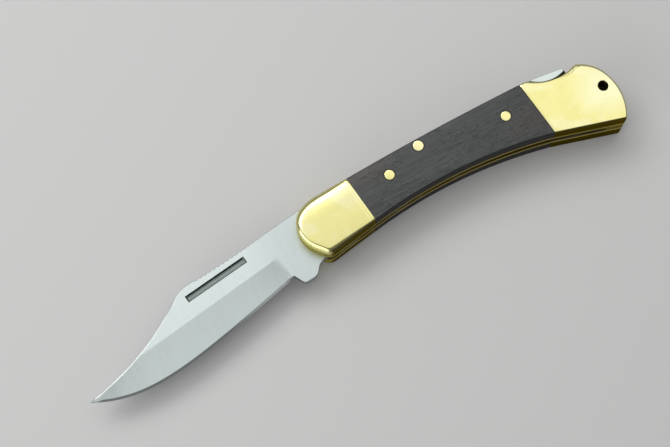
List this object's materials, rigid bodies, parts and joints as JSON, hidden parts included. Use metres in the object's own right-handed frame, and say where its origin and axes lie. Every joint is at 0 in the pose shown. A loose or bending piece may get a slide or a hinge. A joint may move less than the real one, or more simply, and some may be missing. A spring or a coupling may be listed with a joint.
{
  "type": "folding pocket knife",
  "caption": "Lockback folding knife: clip-point blade with a nail groove, brass bolsters and liners, dark wood scales, and a lock bar pressed in a thumb notch.",
  "frame": {"origin": "on the axis of the blade pivot, at the ground flat of the right side, with the knife open and lying on that side", "axes": "+X from the pivot toward the butt (the blade points to -X), +Y toward the back of the handle and the spine of the blade, +Z toward the left side with the nail groove"},
  "size_m": [0.1905, 0.0278, 0.015],
  "materials": {
    "blade_steel": "satin ground stainless steel",
    "bar_steel": "finely brushed stainless steel",
    "spring_steel": "dull rolled spring steel",
    "brass": "polished yellow brass",
    "liner_brass": "satin brass sheet",
    "pin_brass": "polished brass pin, ground flush",
    "wood": "satin near-black wood with fine open grain"
  },
  "bodies": {
    "handle": {"left_liner": "liner_brass", "right_liner": "liner_brass", "left_front_bolster": "brass", "right_front_bolster": "brass", "left_rear_bolster": "brass", "right_rear_bolster": "brass", "left_scale": "wood", "right_scale": "wood", "pivot_pin": "pin_brass", "lock_bar_pin": "pin_brass", "rear_rivet_back": "pin_brass", "rear_rivet_belly": "pin_brass", "left_scale_pin_front": "pin_brass", "left_scale_pin_rear": "pin_brass", "right_scale_pin_front": "pin_brass", "right_scale_pin_rear": "pin_brass", "rear_spacer": "brass", "lock_spring": "spring_steel"},
    "blade": {"blade": "blade_steel"},
    "lock_bar": {"lock_bar": "bar_steel"}
  },
  "joints": [
    {"name": "blade_pivot", "type": "hinge", "parent": "handle", "child": "blade", "pos_m": [0, 0, 0.0075], "axis": [0, 0, 1], "range_deg": [0, 172]},
    {"name": "lock_bar_pivot", "type": "hinge", "parent": "handle", "child": "lock_bar", "pos_m": [0.03575, 0.01, 0.0075], "axis": [0, 0, -1], "range_deg": [0, 2.6], "stiffness_Nm_per_rad": 4, "springref_deg": -5.73, "deforming": ["lock_spring"]}
  ]
}
